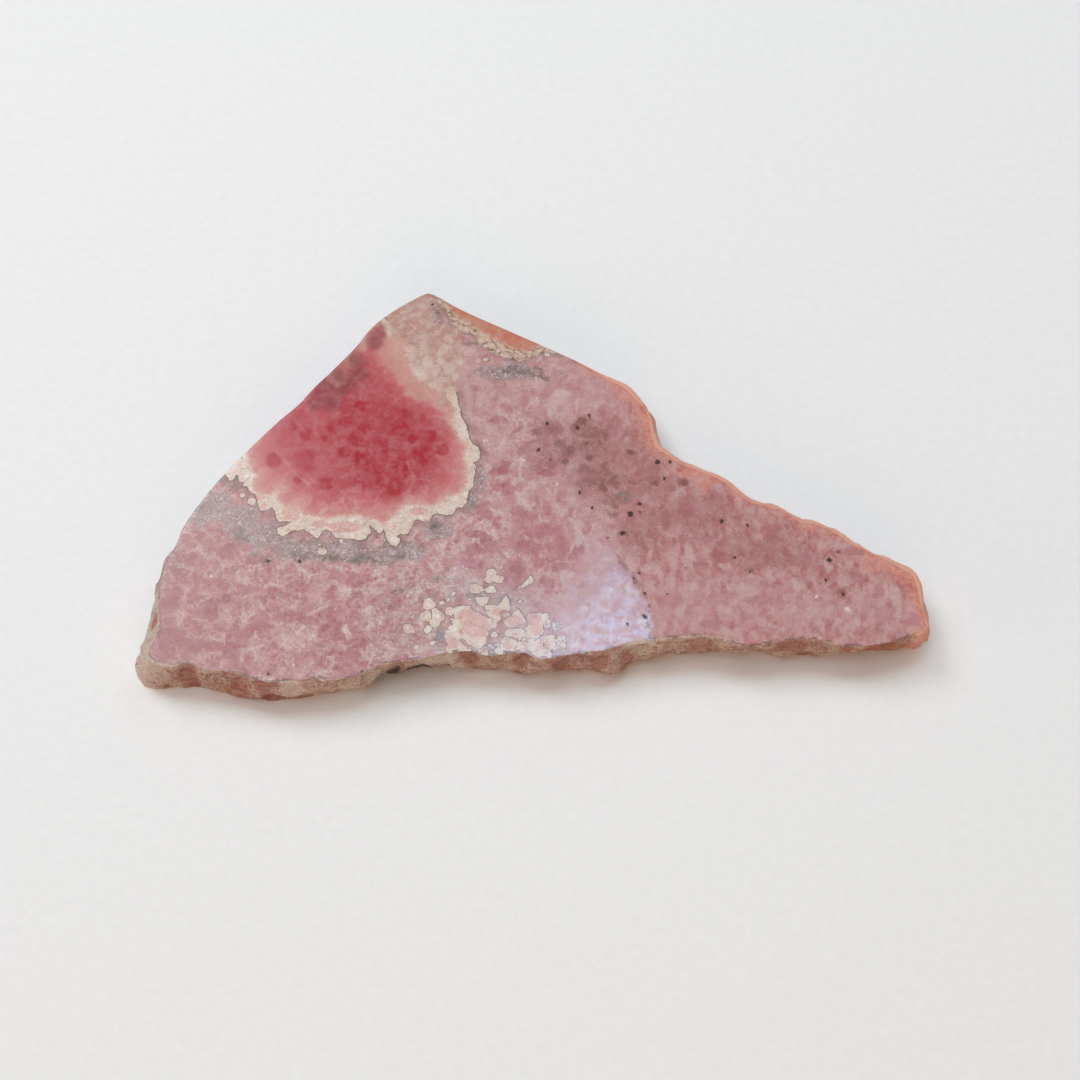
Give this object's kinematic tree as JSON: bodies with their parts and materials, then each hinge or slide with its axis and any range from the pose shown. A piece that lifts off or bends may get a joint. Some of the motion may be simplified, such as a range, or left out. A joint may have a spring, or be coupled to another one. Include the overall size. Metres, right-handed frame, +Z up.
{
  "type": "rhodochrosite slice",
  "caption": "Flat irregular slice of pink banded stone with a polished top face, a sawn underside and broken, worn and sawn edges, for display on a table or shelf.",
  "frame": {"origin": "under the middle of the slice's bounding box, on the surface that it lies on", "axes": "+X along the slice's length towards its narrow end, +Y towards its pointed back corner, +Z up out of the polished face"},
  "size_m": [0.101, 0.0592, 0.006],
  "materials": {
    "rhodochrosite": "polished on top, sawn underneath, broken and worn round the edge"
  },
  "bodies": {
    "root": {"rhodochrosite_slice": "rhodochrosite"}
  },
  "joints": []
}
